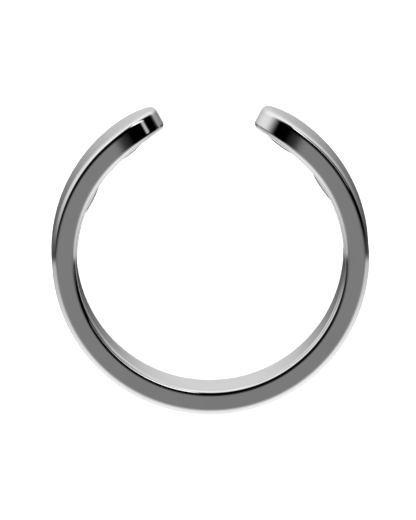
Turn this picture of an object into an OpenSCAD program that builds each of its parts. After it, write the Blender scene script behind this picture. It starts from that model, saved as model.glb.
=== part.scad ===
// Open finger ring: a flat band with rounded edges, bent to a C, with round ends and four low beads inside.
// The ring lies on its side: its axis is +Z, it rests on z = 0, and the gap between its ends faces +Y.
// Angles along the band are measured at the ring's axis from the middle of the gap.

/* [Band] */
// Diameter of the finger hole, wall to wall
inner_d = 17.3; // [15:0.1:22]
// Thickness of the wall
wall_t = 1.63; // [1.3:0.01:2.2]
// Width of the band, along the finger
band_w = 4.17; // [3.6:0.01:6]
// Radius of the rounded long edges
edge_r = 0.39; // [0.2:0.01:0.5]

/* [Ends] */
// Angle of each tip from the middle of the gap
tip_angle = 19.35; // [12:0.05:30]
// Angle where each arm starts to open out of the circle
flare_angle = 43; // [40:1:44]
// How far each tip stands outside the circle
flare = 0.175; // [0.02:0.005:0.3]
// Length over which the band narrows to its round end
nose_len = 3.54; // [3.2:0.02:3.8]
// Radius of the round end's middle arc
nose_tip_r = 1.2; // [0.9:0.05:1.4]
// Direction of the end face, from the middle of the gap
nose_angle = 28.5; // [24:0.5:36]

/* [Beads] */
// Height of a bead above the inner wall
bead_h = 0.27; // [0.1:0.01:0.4]
// Radius of a bead's round top
bead_r = 4; // [3:0.1:4]
// Angle of the right arm's bead near the tip
right_near = 33.5; // [28:0.5:40]
// Angle of the right arm's other bead
right_far = 58; // [52:0.5:80]
// Angle of the left arm's bead near the tip
left_near = 37; // [28:0.5:40]
// Angle of the left arm's other bead
left_far = 63.5; // [52:0.5:80]

/* [Hidden] */
$fn = 160;
inner_r = inner_d / 2;
mid_r = inner_r + wall_t / 2;
// The flared stretch is an arc of its own radius that leaves the circle with no corner
flare_len = mid_r * (flare_angle - tip_angle) * PI / 180;
arm_mid_r = 1 / (1 / mid_r - 2 * flare / pow(flare_len, 2));
arm_shift = arm_mid_r - mid_r;
arm_turn = flare_len / arm_mid_r * 180 / PI;
arm_tip_angle = flare_angle - arm_turn;
// The arm's blank runs past the tip, and the round end is cut from it
blank_extra = 12;
// The flared stretch laps into the circle's by this angle, and is this much smaller all round to fit inside it
arm_lap = 1.5;
arm_inset = 0.01;
// The end's side arcs bulge past the band's faces by this much, so that they cut them at a clear angle
nose_over = 0.02;
nose_half = band_w / 2 + nose_over;
nose_side_r = (pow(nose_len - nose_tip_r, 2) + pow(nose_half, 2) - pow(nose_tip_r, 2))
    / (2 * (nose_half - nose_tip_r));
nose_join = nose_len - nose_side_r * (nose_len - nose_tip_r) / (nose_side_r - nose_tip_r);
nose_tip_u = arm_mid_r * sin(nose_angle - arm_tip_angle);
nose_body = 9;
// The side arcs run this far into the straight stretch behind them
nose_lap = 0.5;
// A bead's foot reaches this far into the wall, and stays inside the narrowing end
bead_root = 0.05;

// Cross-section of the band at a given inner radius, with its four edges rounded, and smaller by inset all round
module section(from_r, inset = 0) {
    translate([from_r, 0]) {
        translate([edge_r, inset]) square([wall_t - 2 * edge_r, band_w - 2 * inset]);
        translate([inset, edge_r]) square([wall_t - 2 * inset, band_w - 2 * edge_r]);
        for (x = [edge_r, wall_t - edge_r], y = [edge_r, band_w - edge_r])
            translate([x, y]) circle(r = edge_r - inset);
    }
}

// Side outline of a round end: the tip is at x = 0 and the band runs on toward +x
module nose_outline() {
    translate([nose_tip_r, 0]) circle(r = nose_tip_r);
    intersection() {
        translate([nose_len, nose_half - nose_side_r]) circle(r = nose_side_r);
        translate([nose_len, nose_side_r - nose_half]) circle(r = nose_side_r);
        translate([nose_join, -band_w]) square([nose_len - nose_join + nose_lap, 2 * band_w]);
    }
    translate([nose_len, -band_w]) square([nose_body, 2 * band_w]);
}

// Everything on the band's side of the right arm's round end, in the arm's own frame
module nose_block() {
    rotate([0, 0, -nose_angle])
        translate([-nose_tip_u, 0, band_w / 2])
            rotate([-90, 0, 0])
                linear_extrude(height = 2 * arm_mid_r)
                    nose_outline();
}

// Puts its children in the frame of the right arm, whose centre lies off the ring's axis
module arm_frame() {
    rotate([0, 0, -flare_angle]) translate([0, -arm_shift, 0]) rotate([0, 0, flare_angle]) children();
}

// The stretch of the right arm that opens out of the circle, with its round end
module right_arm() {
    arm_frame()
        intersection() {
            rotate([0, 0, 90 - flare_angle - arm_lap])
                rotate_extrude(angle = arm_lap + arm_turn + blank_extra)
                    section(inner_r + arm_shift, arm_inset);
            nose_block();
        }
}

// A low round bead on an inner wall of the given radius, at an angle to the right of the gap
module bead(wall_r, angle) {
    intersection() {
        rotate([0, 0, -angle])
            translate([0, wall_r + bead_r - bead_h, band_w / 2])
                sphere(r = bead_r);
        cylinder(r = wall_r + bead_root, h = band_w);
    }
}

// Turns an angle at the ring's axis into the angle at the flared arm's own centre
function arm_angle(angle) = flare_angle - (flare_angle - angle) * mid_r / arm_mid_r;

// One arm's two beads: the one near the tip sits on the flared stretch
module arm_beads(near, far) {
    arm_frame() bead(inner_r + arm_shift, arm_angle(near));
    bead(inner_r, far);
}

// The whole ring is one piece of metal
module band() {
    color([0.78, 0.78, 0.79]) {
        rotate([0, 0, 90 + flare_angle])
            rotate_extrude(angle = 360 - 2 * flare_angle)
                section(inner_r);
        right_arm();
        mirror([1, 0, 0]) right_arm();
        arm_beads(right_near, right_far);
        mirror([1, 0, 0]) arm_beads(left_near, left_far);
    }
}

band();
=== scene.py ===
"""Open finger ring of polished silver: the dressed band, its finish, and the studio that it lies in."""

import math

import bmesh
import bpy
import numpy as np
from bpy.props import FloatProperty, FloatVectorProperty, IntProperty, PointerProperty
from mathutils import Matrix, Vector


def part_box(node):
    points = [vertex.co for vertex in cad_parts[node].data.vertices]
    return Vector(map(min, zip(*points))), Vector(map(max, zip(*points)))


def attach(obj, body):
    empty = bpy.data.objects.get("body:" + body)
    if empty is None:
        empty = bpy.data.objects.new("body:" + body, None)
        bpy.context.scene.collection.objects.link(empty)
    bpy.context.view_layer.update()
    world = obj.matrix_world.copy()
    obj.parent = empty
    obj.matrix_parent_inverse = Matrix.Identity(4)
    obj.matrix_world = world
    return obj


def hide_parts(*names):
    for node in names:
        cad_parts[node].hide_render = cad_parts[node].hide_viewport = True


bl_info = {
    "name": "Open Finger Ring",
    "version": (1, 0, 0),
    "blender": (4, 5, 0),
    "location": "View3D > Sidebar > Ring",
    "description": "Makes a polished open finger ring and a plain studio for it",
    "category": "Add Mesh",
}

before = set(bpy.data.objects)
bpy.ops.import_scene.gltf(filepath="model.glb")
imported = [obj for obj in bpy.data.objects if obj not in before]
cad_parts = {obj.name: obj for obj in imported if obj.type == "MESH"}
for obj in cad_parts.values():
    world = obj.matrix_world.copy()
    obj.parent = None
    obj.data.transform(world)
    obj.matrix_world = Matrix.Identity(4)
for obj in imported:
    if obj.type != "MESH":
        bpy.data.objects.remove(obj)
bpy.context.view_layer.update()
BAND_LOW, BAND_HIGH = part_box("band")

MM = 0.001
# The CAD band gives the ring's own width and outside radius
BAND_WIDTH = BAND_HIGH.z - BAND_LOW.z
OUTER_RADIUS = -BAND_LOW.y


class BandSizes(bpy.types.PropertyGroup):
    """Sizes of the band and its round ends. Angles are at the ring's axis, from the middle of the gap."""

    outer_radius: FloatProperty(
        name="Outer radius", description="Radius of the band's outer wall", default=OUTER_RADIUS,
        unit="LENGTH", precision=5)
    thickness: FloatProperty(
        name="Thickness", description="Thickness of the wall", default=1.63 * MM, unit="LENGTH", precision=5)
    width: FloatProperty(
        name="Width", description="Width of the band, along the finger", default=BAND_WIDTH,
        unit="LENGTH", precision=5)
    edge_radius: FloatProperty(
        name="Edge radius", description="Radius that the long edges and the ends are rounded to",
        default=0.39 * MM, unit="LENGTH", precision=5)
    tip_angle: FloatProperty(
        name="Tip angle", description="Angle of each tip", default=math.radians(19.35), subtype="ANGLE")
    end_length: FloatProperty(
        name="End length", description="Length over which the band narrows to its round end",
        default=3.54 * MM, unit="LENGTH", precision=5)
    end_tip_radius: FloatProperty(
        name="End tip radius", description="Radius of the middle arc of a round end", default=1.2 * MM,
        unit="LENGTH", precision=5)
    end_direction: FloatProperty(
        name="End direction", description="Direction in which the round end is cut through the wall",
        default=math.radians(28.5), subtype="ANGLE")
    flare: FloatProperty(
        name="Flare", description="How far each tip stands outside the circle", default=0.175 * MM,
        unit="LENGTH", precision=5)
    flare_angle: FloatProperty(
        name="Flare angle", description="Angle where each arm starts to open out of the circle",
        default=math.radians(43), subtype="ANGLE")


class BeadSizes(bpy.types.PropertyGroup):
    """Sizes and places of the four low beads on the inner wall."""

    height: FloatProperty(
        name="Height", description="Height of a bead above the inner wall", default=0.27 * MM,
        unit="LENGTH", precision=5)
    radius: FloatProperty(
        name="Radius", description="Radius of a bead's round top", default=4 * MM, unit="LENGTH", precision=5)
    foot_radius: FloatProperty(
        name="Foot radius", description="Radius of the solder between a bead and the wall",
        default=0.3 * MM, unit="LENGTH", precision=5)
    right_near: FloatProperty(
        name="Right near", description="Angle of the right arm's bead near the tip",
        default=math.radians(33.5), subtype="ANGLE")
    right_far: FloatProperty(
        name="Right far", description="Angle of the right arm's other bead",
        default=math.radians(58), subtype="ANGLE")
    left_near: FloatProperty(
        name="Left near", description="Angle of the left arm's bead near the tip",
        default=math.radians(37), subtype="ANGLE")
    left_far: FloatProperty(
        name="Left far", description="Angle of the left arm's other bead",
        default=math.radians(63.5), subtype="ANGLE")


class BandCells(bpy.types.PropertyGroup):
    """How finely the bar of stock is divided before it is worked."""

    along: IntProperty(
        name="Cells along half the bar", description="Cells from a tip to the middle of the band",
        default=260)
    across: IntProperty(name="Cells across", description="Cells across the band's width", default=34)
    round_end: IntProperty(
        name="Cells of a round end", description="Cells between a tip's front and the start of its rounding",
        default=24)
    edge: IntProperty(name="Cells of an edge", description="Cells round each rounded edge", default=8)


class SilverFinish(bpy.types.PropertyGroup):
    """Colour and polish of the silver."""

    colour: FloatVectorProperty(
        name="Colour", description="Colour of the polished metal", default=(0.72, 0.72, 0.728),
        subtype="COLOR", min=0, max=1)
    dull_colour: FloatVectorProperty(
        name="Dull colour", description="Colour of the film that handling leaves on the metal",
        default=(0.69, 0.685, 0.68), subtype="COLOR", min=0, max=1)
    # Painted shade: a dark colour round each bead's foot that stands in for shade and dark reflections
    painted_shade_colour: FloatVectorProperty(
        name="Foot colour", description="Colour of the painted shade in the corner round each bead",
        default=(0.1, 0.097, 0.094), subtype="COLOR", min=0, max=1)
    roughness: FloatProperty(
        name="Roughness", description="Roughness of the best polished metal", default=0.03, min=0, max=1)
    worn_roughness: FloatProperty(
        name="Worn roughness", description="Roughness that wear adds on the eased edges", default=0.03,
        min=0, max=1)
    film_roughness: FloatProperty(
        name="Film roughness", description="Roughness that the film from handling adds", default=0.02,
        min=0, max=1)
    hairline_depth: FloatProperty(
        name="Hairline depth", description="Depth of the polishing lines", default=0.0003 * MM,
        unit="LENGTH", precision=7)


class LightTent(bpy.types.PropertyGroup):
    """Light round the ring. Places are heights or distances on a unit ball, or compass angles from the gap."""

    wall_light: FloatProperty(
        name="Wall light", description="Light of the wall behind the ring, at eye level", default=1.06)
    wall_top_light: FloatProperty(
        name="Wall top light", description="Light of the same wall straight above the ring", default=0.478)
    wall_lean: FloatProperty(
        name="Wall lean", description="Share by which the wall is lighter on the right", default=0.055)
    wall_edge: FloatProperty(
        name="Wall edge", description="Distance of the wall's two upright edges behind the ring",
        default=0.175)
    wall_edge_soft: FloatProperty(
        name="Wall edge softness", description="Half width of the soft edge of the wall", default=0.047)
    wall_top_from: FloatProperty(
        name="Wall top from", description="Height where the wall's edge starts to widen and soften",
        default=0.725)
    wall_top_edge: FloatProperty(
        name="Wall top edge", description="Distance of the wall's end behind the ring, above it",
        default=0.023)
    wall_top_soft: FloatProperty(
        name="Wall top softness", description="Half width of the wall's soft end above the ring",
        default=0.69)
    wall_side_loss: FloatProperty(
        name="Wall side loss", description="Share of the wall's light that is lost beside the ring",
        default=0.73)
    wall_side_from: FloatProperty(
        name="Wall side from", description="Compass angle where most of that share is lost",
        default=math.radians(73), subtype="ANGLE")
    wall_side_to: FloatProperty(
        name="Wall side to", description="Compass angle where the wall has its full light",
        default=math.radians(148), subtype="ANGLE")
    side_light: FloatProperty(
        name="Side light", description="Dim light of the room behind the ring's sides", default=0.056)
    front_light: FloatProperty(
        name="Front light", description="Light from the front, near the ground", default=0.813)
    glow: FloatProperty(
        name="Glow", description="Light added to the front light, more of it the higher up", default=0.426)
    glow_sides: FloatProperty(
        name="Glow at the sides", description="Share of the glow that the front's sides have", default=0.4)
    front_edge: FloatProperty(
        name="Front edge", description="Distance of the front light's edge in front of the ring",
        default=0.068)
    front_edge_soft: FloatProperty(
        name="Front edge softness", description="Half width of the front light's soft edge", default=0.262)
    front_right_edge: FloatProperty(
        name="Front right edge", description="How much farther to the front that edge is on the right",
        default=0.283)
    front_right_soft: FloatProperty(
        name="Front right softness", description="Half width that the edge gains on the right", default=0.339)
    ground_loss: FloatProperty(
        name="Ground loss", description="Light that the front light loses straight below the ring",
        default=0.03)
    ground_edge: FloatProperty(
        name="Ground edge", description="Distance of the front light's edge behind the ring, below it",
        default=0.021)
    ground_lean: FloatProperty(
        name="Ground lean", description="How much that edge leans to the front on the right", default=0.086)
    ground_edge_soft: FloatProperty(
        name="Ground edge softness", description="Half width of the same edge", default=0.213)
    hood_height: FloatProperty(
        name="Hood height", description="Height of the lower edge of the black hood over the front",
        default=0.418)
    hood_drop: FloatProperty(
        name="Hood drop", description="How much lower the hood hangs on the right", default=0.315)
    hood_lift: FloatProperty(
        name="Hood lift", description="How much higher the hood hangs on the left", default=0.062)
    hood_soft: FloatProperty(
        name="Hood softness", description="Half width of the hood's soft edge", default=0.166)
    strip_light: FloatProperty(
        name="Strip light", description="Light of the strip lamp under the hood, at its near end",
        default=2.2)
    strip_far_light: FloatProperty(
        name="Strip far light", description="Light of the strip lamp at its far end", default=0.72)
    strip_tilt: FloatProperty(
        name="Strip tilt", description="Angle of the strip lamp's near end from straight up",
        default=math.radians(54.8), subtype="ANGLE")
    strip_far_tilt: FloatProperty(
        name="Strip far tilt", description="Angle of the strip lamp's far end from straight up",
        default=math.radians(58.3), subtype="ANGLE")
    strip_height: FloatProperty(
        name="Strip height", description="Half height of the strip lamp at its near end",
        default=math.radians(6), subtype="ANGLE")
    strip_far_height: FloatProperty(
        name="Strip far height", description="Half height of the strip lamp at its far end",
        default=math.radians(2.6), subtype="ANGLE")
    strip_soft: FloatProperty(
        name="Strip softness", description="Half width of the soft edges along the strip lamp",
        default=math.radians(1.8), subtype="ANGLE")
    strip_far_from: FloatProperty(
        name="Strip far from", description="Compass angle where the strip lamp starts to narrow and fade",
        default=math.radians(30), subtype="ANGLE")
    strip_far_to: FloatProperty(
        name="Strip far to", description="Compass angle where it has its far end's height and light",
        default=math.radians(70), subtype="ANGLE")
    strip_from: FloatProperty(
        name="Strip from", description="Compass angle of the strip lamp's near end",
        default=math.radians(9), subtype="ANGLE")
    strip_to: FloatProperty(
        name="Strip to", description="Compass angle of the strip lamp's far end",
        default=math.radians(74), subtype="ANGLE")
    floor_lamp: FloatProperty(
        name="Floor lamp", description="Strength of the wide lamp that keeps the floor white", default=8)


class StudioSettings(bpy.types.PropertyGroup):
    """The camera and the floor."""

    view_tilt: FloatProperty(
        name="View tilt", description="Angle of the view from the ring's axis, towards the gap",
        default=math.radians(10.556), subtype="ANGLE")
    view_turn: FloatProperty(
        name="View turn", description="Turn of the view's tilt from the middle of the gap, towards the left",
        default=math.radians(3.71), subtype="ANGLE")
    view_roll: FloatProperty(
        name="View roll", description="Angle of the ring's direction that points up in the picture",
        default=math.radians(0.45), subtype="ANGLE")
    view_height: FloatProperty(
        name="View height", description="Height of what the picture shows", default=33.685 * MM,
        unit="LENGTH", precision=5)
    view_centre: FloatVectorProperty(
        name="View centre",
        description="Where the picture's middle is from the ring's, right and up in the picture",
        default=(-0.1445 * MM, -0.4152 * MM), size=2, unit="LENGTH", precision=5)
    floor_size: FloatProperty(
        name="Floor size", description="Width of the floor", default=3, unit="LENGTH")


class Value:
    """A number that varies over a surface or a sky: Python's operators on it add Math nodes."""

    def __init__(self, shading, socket):
        self.shading = shading
        self.socket = socket

    def math(self, operation, *operands):
        node = self.shading.add("ShaderNodeMath", {"operation": operation}, dict(enumerate(operands)))
        return self.shading.value(node)

    def __add__(self, other):
        return self.math("ADD", self, other)

    __radd__ = __add__

    def __sub__(self, other):
        return self.math("SUBTRACT", self, other)

    def __rsub__(self, other):
        return self.math("SUBTRACT", other, self)

    def __mul__(self, other):
        return self.math("MULTIPLY", self, other)

    __rmul__ = __mul__

    def __pow__(self, power):
        return self.math("POWER", self, power)

    def __abs__(self):
        return self.math("ABSOLUTE", self)

    def rises(self, low, high):
        """Goes softly from 0 to 1 as this value goes from low to high, which are numbers or values."""
        node = self.shading.add(
            "ShaderNodeMapRange", {"interpolation_type": "SMOOTHSTEP"},
            {"Value": self, "From Min": low, "From Max": high})
        return self.shading.value(node, "Result")

    def edge(self, middle, half):
        """Goes softly from 0 to 1 across an edge of the given half width."""
        return self.rises(middle - half, middle + half)


class Shading:
    """Adds nodes to one node tree."""

    def __init__(self, tree):
        self.tree = tree
        tree.nodes.clear()

    def add(self, kind, settings=None, inputs=None):
        """A node of a type, with its settings made first, then values or links put into its sockets."""
        node = self.tree.nodes.new(kind)
        for name, setting in (settings or {}).items():
            setattr(node, name, setting)
        for name, value in (inputs or {}).items():
            if isinstance(value, Value):
                self.tree.links.new(value.socket, node.inputs[name])
            elif isinstance(value, bpy.types.NodeSocket):
                self.tree.links.new(value, node.inputs[name])
            else:
                node.inputs[name].default_value = value
        return node

    def value(self, node, output=0):
        return Value(self, node.outputs[output])

    def parts(self, vector):
        """The three parts of a vector, as values."""
        node = self.add("ShaderNodeSeparateXYZ", inputs={"Vector": vector})
        return [self.value(node, part) for part in ("X", "Y", "Z")]

    def stretched(self, vector, stretch):
        """A vector with each of its parts multiplied by its own number."""
        return self.add("ShaderNodeVectorMath", {"operation": "MULTIPLY"}, {0: vector, 1: stretch}).outputs[0]

    def noise(self, vector, scale, detail=2.0, roughness=0.5):
        node = self.add(
            "ShaderNodeTexNoise", {"noise_dimensions": "3D"},
            {"Vector": vector, "Scale": scale, "Detail": detail, "Roughness": roughness})
        return self.value(node)

    def blend(self, factor, first, second):
        """One colour where the factor is 0, going to another where it is 1."""
        node = self.add("ShaderNodeMix", {"data_type": "RGBA"}, {0: factor, 6: first, 7: second})
        return node.outputs[2]


def opaque(colour):
    """A colour with its fourth part, which sockets ask for."""
    return (*colour, 1)


def silver_material(finish):
    """Polished silver: a mirror with a thin film from handling, fine polishing lines, worn edges, and dark
    painted shade round the beads' feet.
    """
    material = bpy.data.materials.new("polished_silver")
    material.use_nodes = True
    shading = Shading(material.node_tree)
    unrolled = shading.add("ShaderNodeAttribute", {"attribute_name": "unrolled"}).outputs["Vector"]
    foot = shading.value(shading.add("ShaderNodeAttribute", {"attribute_name": "bead_painted_shade"}), "Fac")
    eased = shading.value(shading.add("ShaderNodeAttribute", {"attribute_name": "eased_edge"}), "Fac")

    # The film from handling lies in soft patches a few millimetres wide
    film = shading.noise(unrolled, 0.35, 3.0, 0.55).rises(0.42, 0.7)
    # The wheel's lines run along the band, and a second, finer set crosses them at a low angle
    along = shading.stretched(unrolled, (0.12, 1.0, 1.0))
    lines = shading.noise(along, 9.0, 3.0, 0.6)
    fine_lines = shading.noise(shading.stretched(unrolled, (0.5, 1.0, 1.0)), 22.0, 2.0, 0.5)
    # Small knocks roughen the edges only here and there
    knocks = shading.noise(unrolled, 2.2, 2.0, 0.6).rises(0.5, 0.68) * eased

    colour = shading.blend(film * 0.8, opaque(finish.colour), opaque(finish.dull_colour))
    # Painted shade and painted reflection: dark colour round each bead's foot, with a little more roughness
    # there
    colour = shading.blend(foot * 0.9, colour, opaque(finish.painted_shade_colour))
    roughness = finish.roughness + film * finish.film_roughness + knocks * finish.worn_roughness
    roughness = roughness + lines.rises(0.55, 0.75) * 0.012 + foot * 0.08
    height = lines * 0.7 + fine_lines * 0.3 - knocks * 0.6
    bump = shading.add(
        "ShaderNodeBump", inputs={"Strength": 1.0, "Distance": finish.hairline_depth, "Height": height})
    shader = shading.add(
        "ShaderNodeBsdfPrincipled",
        inputs={"Base Color": colour, "Metallic": 1.0, "Roughness": roughness, "Normal": bump.outputs[0]})
    shading.add("ShaderNodeOutputMaterial", inputs={"Surface": shader.outputs[0]})
    return material


def floor_material():
    """White card with a faint cloudy grain."""
    material = bpy.data.materials.new("white_card")
    material.use_nodes = True
    shading = Shading(material.node_tree)
    place = shading.add("ShaderNodeTexCoord").outputs["Object"]
    grain = shading.noise(place, 400.0, 3.0).rises(0.3, 0.7)
    colour = shading.blend(grain, opaque((0.86, 0.86, 0.865)), opaque((0.9, 0.9, 0.9)))
    shader = shading.add("ShaderNodeBsdfPrincipled", inputs={"Base Color": colour, "Roughness": 0.9})
    shading.add("ShaderNodeOutputMaterial", inputs={"Surface": shader.outputs[0]})
    return material


def tent_world(tent):
    """The sky: a wall of light behind the ring, light from the low front, and a black hood with a strip lamp."""
    world = bpy.data.worlds.new("light_tent")
    world.use_nodes = True
    shading = Shading(world.node_tree)
    toward = shading.add("ShaderNodeTexCoord").outputs["Generated"]
    x, y, z = shading.parts(toward)
    level = (x * x + y * y) ** 0.5
    tilt = z.math("ARCCOSINE", z)
    compass = x.math("ARCTAN2", x, y)

    # The wall ends at two upright edges beside the ring, is dimmer near them, and fades out above and below
    above = z.rises(tent.wall_top_from, 1.0)
    wall_edge = -tent.wall_edge + above * (tent.wall_edge - tent.wall_top_edge)
    wall_soft = tent.wall_edge_soft + above * (tent.wall_top_soft - tent.wall_edge_soft)
    wall = ((level * level.rises(0.23, 0.72) * tent.wall_light) ** 2 + tent.wall_top_light ** 2) ** 0.5
    beside = abs(compass).rises(tent.wall_side_to, tent.wall_side_from) * level.rises(0.05, 0.27)
    wall = wall * (1 + tent.wall_lean * x) * (1 - tent.wall_side_loss * beside)
    wall = wall * (1 - y.edge(wall_edge, wall_soft)) ** 2 * z.rises(-0.97, -0.85)
    side = tent.side_light * (1 - y.rises(-0.15, 0.0))

    # The front light glows most in the middle and high up, and its edge lies farther forward on the right
    lowest = z.rises(-0.6, -1.0)
    middle = y.rises(0.2, 0.7)
    right = x.rises(0.0, 1.0)
    glow = tent.glow * z.rises(-0.9, 0.31) * (tent.glow_sides + middle * (1 - tent.glow_sides))
    front = tent.front_light + glow - tent.ground_loss * lowest
    front_edge = tent.front_edge + tent.front_right_edge * right
    front_edge = front_edge + lowest * (tent.ground_lean * x - tent.ground_edge - front_edge)
    front_soft = tent.front_edge_soft + tent.front_right_soft * right
    front_soft = front_soft + lowest * (tent.ground_edge_soft - front_soft)
    front = front * y.edge(front_edge, front_soft)
    hood_edge = tent.hood_height - tent.hood_drop * x.rises(0.1, 1.0) + tent.hood_lift * x.rises(0.1, -0.5)
    front = front * (1 - z.edge(hood_edge, tent.hood_soft))

    # The strip lamp narrows and fades towards its far end, which hangs a little lower
    far = compass.rises(tent.strip_far_from, tent.strip_far_to)
    strip_tilt = tent.strip_tilt + far * (tent.strip_far_tilt - tent.strip_tilt)
    strip_half = tent.strip_height + far * (tent.strip_far_height - tent.strip_height)
    strip = tent.strip_light + far * (tent.strip_far_light - tent.strip_light)
    strip = strip * (1 - abs(tilt - strip_tilt).edge(strip_half, tent.strip_soft))
    strip = strip * compass.edge(tent.strip_from, math.radians(4))
    strip = strip * (1 - compass.edge(tent.strip_to, math.radians(2)))

    light = wall + side + front + strip
    background = shading.add("ShaderNodeBackground", inputs={"Color": (1, 1, 1, 1), "Strength": light})
    shading.add("ShaderNodeOutputWorld", inputs={"Surface": background.outputs[0]})
    return world


def only_active(thing):
    """Selects one object alone, and makes it the active one."""
    bpy.ops.object.select_all(action="DESELECT")
    thing.select_set(True)
    bpy.context.view_layer.objects.active = thing


def cut_cells(axis, cuts):
    """Cuts every edge of the mesh in edit mode that runs along an axis into cuts + 1 equal parts."""
    bpy.ops.mesh.select_all(action="DESELECT")
    stock = bmesh.from_edit_mesh(bpy.context.object.data)
    for edge in stock.edges:
        way = (edge.verts[1].co - edge.verts[0].co).normalized()
        edge.select_set(abs(way[axis]) > 0.9)
    bpy.ops.mesh.subdivide(number_cuts=cuts)


def bar_of_stock(name, cells_along, cells_across, cells_through):
    """A straight bar one unit long, wide and thick, divided into cells on all its faces."""
    bpy.ops.object.select_all(action="DESELECT")
    bpy.ops.mesh.primitive_cube_add(size=1)
    bar = bpy.context.object
    bar.name = name
    bar.data.name = name
    bpy.ops.object.mode_set(mode="EDIT")
    bpy.ops.mesh.select_mode(type="EDGE")
    # The long direction is cut in two rounds, because one round makes 100 cuts at most
    long_parts = 20
    cut_cells(0, long_parts - 1)
    cut_cells(0, cells_along // long_parts - 1)
    cut_cells(1, cells_across - 1)
    cut_cells(2, cells_through - 1)
    bpy.ops.object.mode_set(mode="OBJECT")
    return bar


class RingForm:
    """Works out where each point of the straight bar goes in the finished ring."""

    # Share of the front of a round end that is the bar's own end face, as an angle of its outline
    FRONT_ANGLE = math.radians(50)
    # Distance of the first cells of the flat side faces from the rounded edges, which keeps those faces flat
    FLAT_MARGIN = 0.03 * MM
    # Painted shade round a bead: its place as a share of the foot's radius, its half width, its least darkness
    PAINTED_SHADE_AT = 0.95
    PAINTED_SHADE_HALF = 0.16 * MM
    PAINTED_SHADE_LEAST = 0.2

    def __init__(self, band, beads, cells):
        self.band = band
        self.cells = cells
        self.inner_radius = band.outer_radius - band.thickness
        self.mid_radius = band.outer_radius - band.thickness / 2
        half = self.half_width = band.width / 2
        length, tip = band.end_length, band.end_tip_radius
        self.side_radius = ((length - tip) ** 2 + half ** 2 - tip ** 2) / (2 * (half - tip))
        self.join_angle = math.acos((length - tip) / (self.side_radius - tip))
        self.tip_offset = -(self.mid_radius + band.flare) * math.sin(band.end_direction - band.tip_angle)
        self.bead_places = [
            (1, beads.right_near), (1, beads.right_far), (-1, beads.left_near), (-1, beads.left_far)]
        self.beads = beads
        self.through = self.wall_profile()

    def wall_profile(self):
        """Inset from the outline and height above the inner wall, for each line of cells through the wall."""
        turn = np.linspace(0, math.pi / 2, self.cells.edge + 1)
        radius = self.band.edge_radius
        inset = radius * (1 - np.sin(turn))
        height = radius * (1 - np.cos(turn))
        thick = self.band.thickness
        margin = radius + self.FLAT_MARGIN
        flat = np.array([margin, thick / 2, thick - margin])
        insets = np.concatenate([inset, np.zeros(3), inset[::-1]])
        heights = np.concatenate([height, flat, thick - height[::-1]])
        return np.stack([insets, heights], axis=1)

    def side_outline(self, angle, inset):
        """Point of a round end's side arc, moved inwards: distance along the band from the tip, and across."""
        radius = self.side_radius - inset
        along = self.band.end_length - radius * np.cos(angle)
        across = self.half_width - self.side_radius + radius * np.sin(angle)
        return along, across

    def front_outline(self, across, inset):
        """Distance from the tip of a point of a round end's front, by its place across the band."""
        tip = self.band.end_tip_radius
        middle = tip - np.sqrt(np.clip((tip - inset) ** 2 - across ** 2, 0, None))
        from_centre = np.abs(across) + self.side_radius - self.half_width
        side = self.band.end_length - np.sqrt((self.side_radius - inset) ** 2 - from_centre ** 2)
        return np.where(np.abs(across) < (tip - inset) * math.sin(self.join_angle), middle, side)

    def flare_at(self, angle):
        """How far the arm stands outside the circle at an angle from the middle of the gap."""
        band = self.band
        share = np.clip((band.flare_angle - angle) / (band.flare_angle - band.tip_angle), 0, None)
        return band.flare * share ** 2

    def angle_at(self, along, radius):
        """Angle of a point of a round end from the middle of the gap. The end is cut straight through."""
        angle = np.full_like(along, self.band.tip_angle)
        for _ in range(4):
            reach = radius + self.flare_at(angle)
            angle = self.band.end_direction + np.arcsin((along + self.tip_offset) / reach)
        return angle

    def bead_rise(self, side, angle, across):
        """Height of the beads over the inner wall, and darkness of the painted shade at their feet."""
        beads = self.beads
        reach = beads.radius + beads.foot_radius
        foot_at = math.sqrt(2 * reach * beads.height - beads.height ** 2)
        dome_to = foot_at * beads.radius / reach
        rise = np.zeros_like(angle)
        foot = np.zeros_like(angle)
        for bead_side, bead_angle in self.bead_places:
            along = (angle - bead_angle) * self.inner_radius
            away = np.hypot(along, across) + 1e-9
            end_on = (along / away) ** 2
            away[side != bead_side] = 10 * foot_at
            near = np.minimum(away, dome_to)
            dome = np.sqrt(beads.radius ** 2 - near ** 2) - (beads.radius - beads.height)
            to_foot = np.clip(foot_at - away, 0, beads.foot_radius)
            solder = beads.foot_radius - np.sqrt(beads.foot_radius ** 2 - to_foot ** 2)
            rise += np.where(away < dome_to, dome, solder)
            # The painted shade is darkest at the two ends of a bead that lie along the band
            darkness = self.PAINTED_SHADE_LEAST + (1 - self.PAINTED_SHADE_LEAST) * end_on
            foot += darkness * np.exp(-(((away - self.PAINTED_SHADE_AT * foot_at) / self.PAINTED_SHADE_HALF) ** 2))
        return rise, foot

    def work(self, points):
        """Takes the bar's points, from -0.5 to 0.5 each way, and gives the ring's points and their marks."""
        half_cells = self.cells.along
        station = np.rint((points[:, 0] + 0.5) * 2 * half_cells)
        side = np.where(station >= half_cells, 1, -1)
        from_tip = np.minimum(station, 2 * half_cells - station)
        share_across = 2 * points[:, 1]
        line = np.rint((points[:, 2] + 0.5) * (len(self.through) - 1)).astype(int)
        inset, height = self.through[line].T
        radius = self.inner_radius + height

        ends = self.cells.round_end
        end_share = np.clip(from_tip / ends, 0, 1)
        outline_angle = self.FRONT_ANGLE + (math.pi / 2 - self.FRONT_ANGLE) * end_share
        side_along, side_across = self.side_outline(outline_angle, inset)
        corner_along, corner_across = self.side_outline(self.FRONT_ANGLE, inset)
        front_along = self.front_outline(corner_across * share_across, inset)
        across = side_across * share_across
        along = side_along + (1 - end_share) ** 2 * (front_along - corner_along)

        angle = self.angle_at(along, radius)
        body_share = np.clip((from_tip - ends) / (half_cells - ends), 0, 1)
        angle = angle + (math.pi - angle) * body_share

        # Bead heights, and the painted shade round their feet
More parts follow.
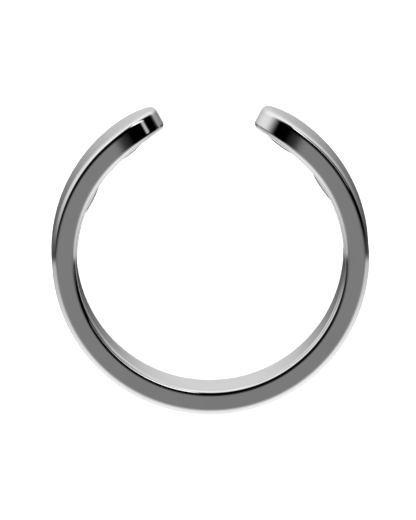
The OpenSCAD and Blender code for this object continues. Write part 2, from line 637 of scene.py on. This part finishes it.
        rise, foot = self.bead_rise(side, angle, across)
        on_wall = line == 0
        rise = np.where(on_wall, rise, 0)
        foot = np.where(on_wall, foot, 0)
        reach = radius + self.flare_at(angle) - rise
        place = np.stack(
            [side * reach * np.sin(angle), reach * np.cos(angle), self.half_width + across], axis=1)
        unrolled = np.stack([side * (math.pi - angle) * self.mid_radius, across, height], axis=1) / MM
        eased = np.sin(np.pi * np.clip(1 - inset / self.band.edge_radius, 0, 1))
        eased = np.where((height > self.band.edge_radius) & (inset == 0), 0, eased)
        return place, unrolled, foot, eased


def mark_points(mesh, name, kind, values):
    """Stores one value or vector for each point of a mesh, which a material can read by name."""
    layer = mesh.attributes.new(name, kind, "POINT")
    layer.data.foreach_set("vector" if kind == "FLOAT_VECTOR" else "value", values.astype(np.float32).ravel())


def work_bar(bar, form):
    """Files the bar's ends round, eases its edges, raises its beads and bends it to the ring."""
    mesh = bar.data
    points = np.zeros(len(mesh.vertices) * 3)
    mesh.vertices.foreach_get("co", points)
    place, unrolled, foot, eased = form.work(points.reshape(-1, 3))
    mesh.vertices.foreach_set("co", place.ravel())
    mark_points(mesh, "unrolled", "FLOAT_VECTOR", unrolled)
    # Darkness of the painted shade round each bead's foot
    mark_points(mesh, "bead_painted_shade", "FLOAT", foot)
    mark_points(mesh, "eased_edge", "FLOAT", eased)
    mesh.update()
    only_active(bar)
    bpy.ops.object.mode_set(mode="EDIT")
    bpy.ops.mesh.select_all(action="SELECT")
    bpy.ops.mesh.normals_make_consistent(inside=False)
    bpy.ops.object.mode_set(mode="OBJECT")
    bpy.ops.object.shade_smooth()


class RING_OT_make_band(bpy.types.Operator):
    """Make the whole band: a bar with round ends and eased edges, bent to a ring, with its four beads"""

    bl_idname = "ring.make_band"
    bl_label = "Make Band"

    def execute(self, context):
        scene = context.scene
        form = RingForm(scene.ring_band, scene.ring_beads, scene.ring_cells)
        band = bar_of_stock(
            "silver_band", 2 * scene.ring_cells.along, scene.ring_cells.across, len(form.through) - 1)
        work_bar(band, form)
        band.data.materials.clear()
        band.data.materials.append(silver_material(scene.ring_finish))
        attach(band, "root")
        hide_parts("band")
        return {"FINISHED"}


def aim_camera(studio, middle):
    """The camera: it looks along straight parallel lines, as the ring's true sizes in the picture show."""
    data = bpy.data.cameras.new("picture_camera")
    data.type = "ORTHO"
    data.ortho_scale = studio.view_height
    camera = bpy.data.objects.new("picture_camera", data)
    bpy.context.scene.collection.objects.link(camera)
    tilt, turn, roll = studio.view_tilt, studio.view_turn, studio.view_roll
    back = Vector((-math.sin(tilt) * math.sin(turn), math.sin(tilt) * math.cos(turn), math.cos(tilt)))
    ahead = Vector((math.sin(roll), math.cos(roll), 0))
    up = (ahead - ahead.dot(back) * back).normalized()
    right = up.cross(back)
    distance = 0.3
    centre = middle + studio.view_centre[0] * right + studio.view_centre[1] * up
    turned = Matrix((right, up, back)).transposed().to_4x4()
    camera.matrix_world = Matrix.Translation(centre + distance * back) @ turned
    bpy.context.scene.camera = camera


def light_floor(tent):
    """A very wide lamp overhead that whitens the floor, and that the metal doesn't mirror."""
    data = bpy.data.lights.new("floor_lamp", "SUN")
    data.energy = tent.floor_lamp
    data.angle = math.radians(150)
    lamp = bpy.data.objects.new("floor_lamp", data)
    lamp.visible_glossy = False
    bpy.context.scene.collection.objects.link(lamp)


class RING_OT_lay_stage(bpy.types.Operator):
    """Make the camera, the pale floor and the soft light"""

    bl_idname = "ring.lay_stage"
    bl_label = "Lay Stage"

    def execute(self, context):
        studio = context.scene.ring_studio
        middle = Vector((0, 0, BAND_WIDTH / 2))
        aim_camera(studio, middle)
        bpy.ops.object.select_all(action="DESELECT")
        bpy.ops.mesh.primitive_plane_add(size=studio.floor_size)
        floor = context.object
        floor.name = "floor"
        floor.data.materials.append(floor_material())
        floor.visible_glossy = False
        light_floor(context.scene.ring_tent)
        context.scene.world = tent_world(context.scene.ring_tent)
        context.scene.view_settings.view_transform = "Standard"
        return {"FINISHED"}


class RING_PT_panel(bpy.types.Panel):
    """Lists the ring's settings and its makers"""

    bl_idname = "RING_PT_panel"
    bl_label = "Open Finger Ring"
    bl_space_type = "VIEW_3D"
    bl_region_type = "UI"
    bl_category = "Ring"

    def draw(self, context):
        for group in GROUPS:
            box = self.layout.box()
            box.label(text=group.__doc__.split(".")[0])
            settings = getattr(context.scene, GROUPS[group])
            for name in group.__annotations__:
                box.prop(settings, name)
        for maker in MAKERS:
            self.layout.operator(maker.bl_idname)


GROUPS = {
    BandSizes: "ring_band",
    BeadSizes: "ring_beads",
    BandCells: "ring_cells",
    SilverFinish: "ring_finish",
    LightTent: "ring_tent",
    StudioSettings: "ring_studio",
}
MAKERS = (RING_OT_lay_stage, RING_OT_make_band)


def register():
    for group, name in GROUPS.items():
        bpy.utils.register_class(group)
        setattr(bpy.types.Scene, name, PointerProperty(type=group))
    for maker in MAKERS:
        bpy.utils.register_class(maker)
    bpy.utils.register_class(RING_PT_panel)


def unregister():
    bpy.utils.unregister_class(RING_PT_panel)
    for maker in reversed(MAKERS):
        bpy.utils.unregister_class(maker)
    for group, name in GROUPS.items():
        delattr(bpy.types.Scene, name)
        bpy.utils.unregister_class(group)


def main():
    register()
    bpy.ops.ring.lay_stage()
    bpy.ops.ring.make_band()


if __name__ == "__main__":
    main()
